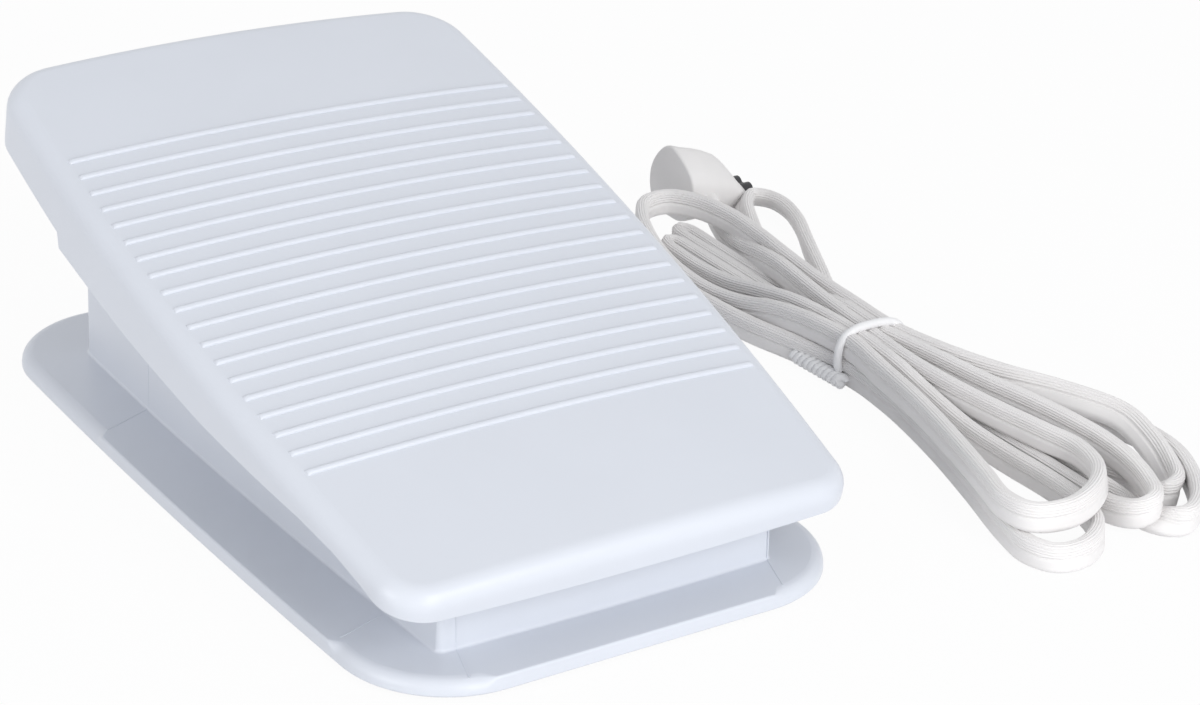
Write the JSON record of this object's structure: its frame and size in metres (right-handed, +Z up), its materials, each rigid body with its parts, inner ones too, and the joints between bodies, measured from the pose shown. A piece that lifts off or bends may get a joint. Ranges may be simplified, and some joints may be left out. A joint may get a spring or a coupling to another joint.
{
  "type": "sewing machine foot pedal",
  "caption": "Pale plastic sewing machine foot pedal with a ribbed treadle on a low flanged base, a speed control inside and a flat lead tied in a hank.",
  "frame": {"origin": "on the floor under the middle of the pedal, the lead left out", "axes": "+Y from the heel to the raised toe, +Z up, +X to the right of someone whose heel is at the low end"},
  "size_m": [0.209, 0.24, 0.0696],
  "materials": {
    "moulded_plastic": "satin, pale blue-white",
    "cord_cover": "warm white, lightly ribbed",
    "tie_plastic": "white",
    "foot_rubber": "matt",
    "steel": "zinc plated",
    "natural_plastic": "natural nylon",
    "dark_plastic": "moulded",
    "board": "coated laminate",
    "sink_metal": "extruded",
    "capacitor_case": "moulded",
    "winding": "varnished",
    "resistor_coat": "lacquered",
    "terminal_plastic": "moulded",
    "contact_brass": "bright"
  },
  "bodies": {
    "base": {"base_housing": "moulded_plastic", "bottom_plate": "moulded_plastic", "plate_screws": "steel", "rubber_feet": "foot_rubber", "hinge_rod": "steel", "return_spring": "steel", "plunger_spring": "steel", "potentiometer": "dark_plastic", "pot_nut": "steel", "pot_bracket": "steel", "bracket_screws": "steel", "circuit_board": "board", "board_screws": "steel", "triac": "dark_plastic", "heat_sink": "sink_metal", "sink_bolt": "steel", "film_capacitor": "capacitor_case", "choke": "winding", "resistors": "resistor_coat", "trigger_diode": "resistor_coat", "terminal_block": "terminal_plastic", "inner_wires": "cord_cover", "cord_clamp": "natural_plastic", "clamp_screws": "steel", "strain_relief": "cord_cover", "mains_lead": "cord_cover", "loose_turn": "cord_cover", "cord_hank": "cord_cover", "plug_lead": "cord_cover", "plug_shell": "cord_cover", "plug_tip": "dark_plastic", "plug_contacts": "contact_brass", "twist_tie": "tie_plastic"},
    "lid": {"lid": "moulded_plastic"},
    "plunger": {"plunger": "natural_plastic"},
    "crank": {"crank_arm": "natural_plastic"}
  },
  "joints": [
    {"name": "treadle_hinge", "type": "hinge", "parent": "base", "child": "lid", "pos_m": [0, -0.074, 0.014], "axis": [-1, 0, 0], "range_deg": [0, 8], "stiffness_Nm_per_rad": 4, "springref_deg": -5.73, "deforming": ["return_spring"]},
    {"name": "plunger_slide", "type": "slide", "parent": "base", "child": "plunger", "axis": [0, 0, -1], "range_m": [0, 0.0135], "deforming": ["plunger_spring"]},
    {"name": "crank_turn", "type": "hinge", "parent": "base", "child": "crank", "pos_m": [0.0134, 0.04443, 0.01574], "axis": [1, 0, 0], "range_deg": [0, 49.7]}
  ],
  "couplings": [
    {"joint": "plunger_slide", "follows": "treadle_hinge", "m_per_rad": 0.09618},
    {"joint": "crank_turn", "follows": "treadle_hinge", "ratio": 6.203}
  ]
}
